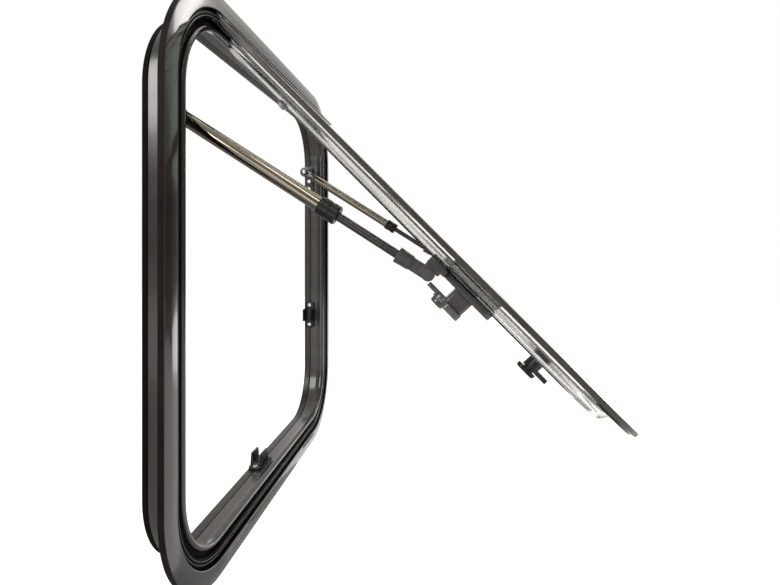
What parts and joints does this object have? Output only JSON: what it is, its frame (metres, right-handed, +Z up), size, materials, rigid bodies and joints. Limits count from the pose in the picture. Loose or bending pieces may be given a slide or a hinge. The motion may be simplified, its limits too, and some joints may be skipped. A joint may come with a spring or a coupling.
{
  "type": "caravan window",
  "caption": "Square top-hung caravan window with rounded corners, double acrylic sash held open on telescopic stays, turn latches with keepers, and a flanged frame for a wall cut-out.",
  "frame": {"origin": "on the flange's back face, in the middle of the bottom rail, where the window meets the wall", "axes": "+X across the window, +Y through the wall to the inside, +Z up"},
  "size_m": [0.545, 0.3923, 0.545],
  "materials": {
    "frame_paint": "satin warm black powder coat on aluminium",
    "trim_plastic": "satin black, fine grain",
    "seal_rubber": "matt",
    "tinted_acrylic": "polished, grey tint",
    "clear_acrylic": "polished, clear",
    "stay_tube_metal": "satin nickel tone",
    "stay_rod_paint": "gloss black",
    "bracket_zinc": "satin dark grey",
    "black_plastic": "moulded, fine texture"
  },
  "bodies": {
    "frame": {"outer_frame": "frame_paint", "inner_trim": "trim_plastic", "frame_gasket": "seal_rubber", "hinge_rail": "frame_paint", "left_stay_bracket": "bracket_zinc", "right_stay_bracket": "bracket_zinc", "bottom_keeper": "black_plastic", "left_keeper": "black_plastic", "right_keeper": "black_plastic"},
    "sash": {"outer_pane": "tinted_acrylic", "inner_pane": "clear_acrylic", "hinge_profile": "frame_paint", "left_latch_spacer": "black_plastic", "left_latch_base": "black_plastic", "right_latch_spacer": "black_plastic", "right_latch_base": "black_plastic", "bottom_latch_spacer": "black_plastic", "bottom_latch_base": "black_plastic"},
    "left_stay_barrel": {"left_stay_eye": "black_plastic", "left_stay_tube": "stay_tube_metal", "left_stay_collar": "black_plastic"},
    "left_stay_ram": {"left_stay_rod": "stay_rod_paint", "left_stay_fitting": "black_plastic"},
    "right_stay_barrel": {"right_stay_eye": "black_plastic", "right_stay_tube": "stay_tube_metal", "right_stay_collar": "black_plastic"},
    "right_stay_ram": {"right_stay_rod": "stay_rod_paint", "right_stay_fitting": "black_plastic"},
    "left_latch": {"left_latch_hub": "black_plastic", "left_latch_grip": "black_plastic"},
    "right_latch": {"right_latch_hub": "black_plastic", "right_latch_grip": "black_plastic"},
    "bottom_latch": {"bottom_latch_hub": "black_plastic", "bottom_latch_grip": "black_plastic"}
  },
  "joints": [
    {"name": "sash_hinge", "type": "hinge", "parent": "frame", "child": "sash", "pos_m": [0, -0.0095, 0.5045], "axis": [-1, 0, 0], "range_deg": [-44.5, 0]},
    {"name": "left_stay_pivot", "type": "hinge", "parent": "frame", "child": "left_stay_barrel", "pos_m": [-0.2245, 0.024, 0.4195], "axis": [-1, 0, 0], "range_deg": [-54.8, 0]},
    {"name": "left_stay_slide", "type": "slide", "parent": "left_stay_barrel", "child": "left_stay_ram", "axis": [0, -0.8435, -0.5371], "range_m": [-0.05448, 0]},
    {"name": "right_stay_pivot", "type": "hinge", "parent": "frame", "child": "right_stay_barrel", "pos_m": [0.2245, 0.024, 0.4195], "axis": [-1, 0, 0], "range_deg": [-54.8, 0]},
    {"name": "right_stay_slide", "type": "slide", "parent": "right_stay_barrel", "child": "right_stay_ram", "axis": [0, -0.8435, -0.5371], "range_m": [-0.05448, 0]},
    {"name": "left_latch_turn", "type": "hinge", "parent": "sash", "child": "left_latch", "pos_m": [-0.2085, -0.21799, 0.24882], "axis": [0, -0.7133, 0.7009], "range_deg": [0, 90]},
    {"name": "right_latch_turn", "type": "hinge", "parent": "sash", "child": "right_latch", "pos_m": [0.2085, -0.21799, 0.24882], "axis": [0, 0.7133, -0.7009], "range_deg": [0, 90]},
    {"name": "bottom_latch_turn", "type": "hinge", "parent": "sash", "child": "bottom_latch", "pos_m": [0, -0.30736, 0.15788], "axis": [0, -0.7133, 0.7009], "range_deg": [0, 90]}
  ],
  "couplings": [
    {"joint": "left_stay_pivot", "follows": "sash_hinge", "ratio": 1.2312},
    {"joint": "left_stay_slide", "follows": "sash_hinge", "m_per_rad": 0.070128},
    {"joint": "right_stay_pivot", "follows": "sash_hinge", "ratio": 1.2312},
    {"joint": "right_stay_slide", "follows": "sash_hinge", "m_per_rad": 0.070128}
  ]
}
